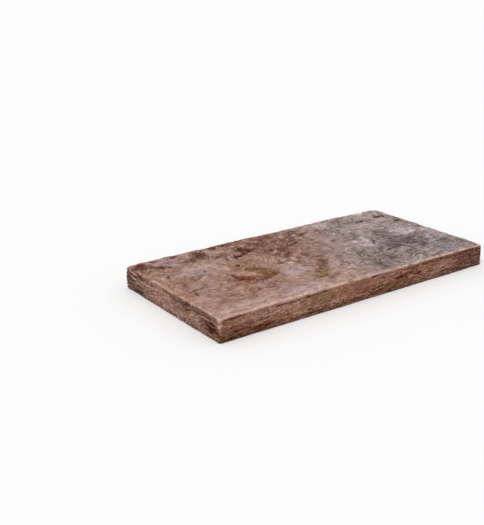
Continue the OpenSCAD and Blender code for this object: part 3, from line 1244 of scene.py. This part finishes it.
def mat_material():
    """The wool itself: a felt of fibres on the faces and level layers of them on the cut edges."""
    material, tree, where, tint = new_material("wool_mat")
    streaks = blend(tree, attribute(tree, "lay"), layer_streaks(tree, where), felt_streaks(tree, where))
    grain = texture(tree, where, 900.0)["Fac"]
    height = blend(tree, 0.2, streaks, grain)
    strength = spread(tree, attribute(tree, "rough"), 0.0, 1.0, 0.40, 1.0, clamp=False)
    centred = spread(tree, height, 0.38, 0.62, -0.5, 0.5)
    contrast = maths(tree, "MULTIPLY_ADD", centred, strength, 0.5, use_clamp=True)
    curve = maths(tree, "POWER", contrast, 0.65)
    colour = shifted_colour(tree, tint, spread(tree, curve, 0.0, 1.0, *MAT_SHADES))
    inputs = wool_shader(tree, colour, spread(tree, contrast, 0.0, 1.0, 1.0, 0.86))
    relief = maths(tree, "MULTIPLY", height, strength)
    bump = node(tree, "ShaderNodeBump", {"Height": relief, **WOOL_BUMP})
    tree.links.new(bump.outputs[0], inputs["Normal"])
    return material


def strand_material():
    """Loose strands: each has the colour of the wool round it, a little lighter or darker."""
    material, tree, where, tint = new_material("wool_strand")
    light = spread(tree, texture(tree, where, 220.0)["Fac"], 0.3, 0.7)
    colour = shifted_colour(tree, tint, spread(tree, light, 0.0, 1.0, *STRAND_SHADES))
    wool_shader(tree, colour, spread(tree, light, 0.0, 1.0, 1.0, 0.85))
    return material


def dress(piece, material):
    """Gives a piece its material, and says that it belongs to the board."""
    piece.data.materials.append(material)
    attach(piece, "root")


# ---------------- camera

CAMERA_PLACE = (-1.988, -2.304, 1.153)
CAMERA_HEADING = math.radians(54.1)
CAMERA_PITCH = math.radians(19.93)
CAMERA_LENS = 58.3


def add_object(name, data):
    """A new object in the scene."""
    made = bpy.data.objects.new(name, data)
    bpy.context.collection.objects.link(made)
    return made


def make_camera():
    """The photograph's view: over the board's front left corner, along its length."""
    data = bpy.data.cameras.new("camera")
    data.lens = CAMERA_LENS
    data.clip_end = 2 * FLOOR_HALF
    camera = add_object("camera", data)
    camera.location = CAMERA_PLACE
    camera.rotation_euler = (math.pi / 2 - CAMERA_PITCH, 0, CAMERA_HEADING - math.pi / 2)
    bpy.context.scene.camera = camera


# ---------------- studio

# The strength of the sky's light and of the lamp's
SKY = 0.60
KEY = 1.45
KEY_SPREAD = math.radians(30)
KEY_TURN = (math.radians(18), math.radians(-30), 0)
FLOOR_BOUNCE = 0.55
FLOOR_HALF = 150.0  # half the floor's width
WHITE = (1, 1, 1, 1)


def seen_directly(tree):
    """1 for what the camera sees, directly or in a reflection, and 0 for the light that falls on things."""
    path = node(tree, "ShaderNodeLightPath").outputs
    seen = maths(tree, "MAXIMUM", path["Is Camera Ray"], path["Is Glossy Ray"])
    return maths(tree, "MAXIMUM", seen, path["Is Transmission Ray"])


def make_studio():
    """A white room: an even sky, one soft lamp from the upper left and a wide white floor."""
    world = bpy.data.worlds.new("studio")
    world.use_nodes = True
    tree = world.node_tree
    background = tree.nodes["Background"].inputs
    tree.links.new(blend(tree, seen_directly(tree), SKY, 1.0), background["Strength"])
    background["Color"].default_value = WHITE
    bpy.context.scene.world = world

    lamp = bpy.data.lights.new("key", "SUN")
    lamp.energy = KEY
    lamp.angle = KEY_SPREAD
    add_object("key", lamp).rotation_euler = KEY_TURN

    corner_signs = ((-1, -1), (1, -1), (1, 1), (-1, 1))
    mesh = bpy.data.meshes.new("floor")
    mesh.from_pydata([(FLOOR_HALF * x, FLOOR_HALF * y, 0) for x, y in corner_signs], [], [(0, 1, 2, 3)])
    floor = add_object("floor", mesh)
    paint = bpy.data.materials.new("floor")
    paint.use_nodes = True
    tree = paint.node_tree
    inputs = tree.nodes["Principled BSDF"].inputs
    bounce = (FLOOR_BOUNCE, FLOOR_BOUNCE, FLOOR_BOUNCE, 1)
    tree.links.new(blend(tree, seen_directly(tree), bounce, WHITE, "RGBA"), inputs["Base Color"])
    inputs["Roughness"].default_value = 1.0
    inputs["Specular IOR Level"].default_value = 0.0
    mesh.materials.append(paint)
    floor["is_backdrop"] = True


# ---------------- the scene

make_camera()

upper, under = upper_patch(), under_patch()
wall = wall_patch(upper)
for patch in (upper, wall):
    patch.place = settled(patch.place)
mat = board_mesh(upper, wall, under)
dress(mat, mat_material())
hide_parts("wool_board")


def wall_heading(at):
    """The heading of the strands on the cut edges: nearly level."""
    return 0.10 * noise(at, 0.12, 71)


upper_heading = functools.partial(upper_felt.read, "heading")
under_heading = functools.partial(under_felt.read, "heading")
left, front = LOW[:2] + UPPER_ARRIS
right, back = HIGH[:2] - UPPER_ARRIS
left_half, right_half = ((left, front), (0, back)), ((0, front), (right, back))
whole_face = ((left, front), (right, back))
edge_band = ((0, 2 * MM), (PERIMETER, wall.v[-1] - 4 * MM))
face_size = {"length": (0.010, 0.030), "radius": (0.12 * MM, 0.36 * MM), "lift": (0.1 * MM, 0.7 * MM)}
edge_size = {"length": (0.010, 0.040), "radius": (0.14 * MM, 0.45 * MM), "lift": (0.2 * MM, 1.2 * MM)}
under_size = {**face_size, "lift": (0.1 * MM, 0.4 * MM)}
strand_paint = strand_material()
for made in (
    strands("strands_upper_left", upper, 1200, left_half, upper_heading, seed=81, **face_size),
    strands("strands_upper_right", upper, 1200, right_half, upper_heading, seed=82, **face_size),
    strands("strands_edges", wall, 1200, edge_band, wall_heading, seed=83, **edge_size),
    strands("strands_underside", under, 600, whole_face, under_heading, seed=84, **under_size),
    curl_strands("strands_curls", upper, seed=85),
):
    dress(made, strand_paint)

make_studio()
bpy.context.scene.view_settings.view_transform = "Standard"

boxes = {"cad": cad_box, "visual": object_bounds()}
{key: [list(corner) for corner in box] for key, box in boxes.items()}
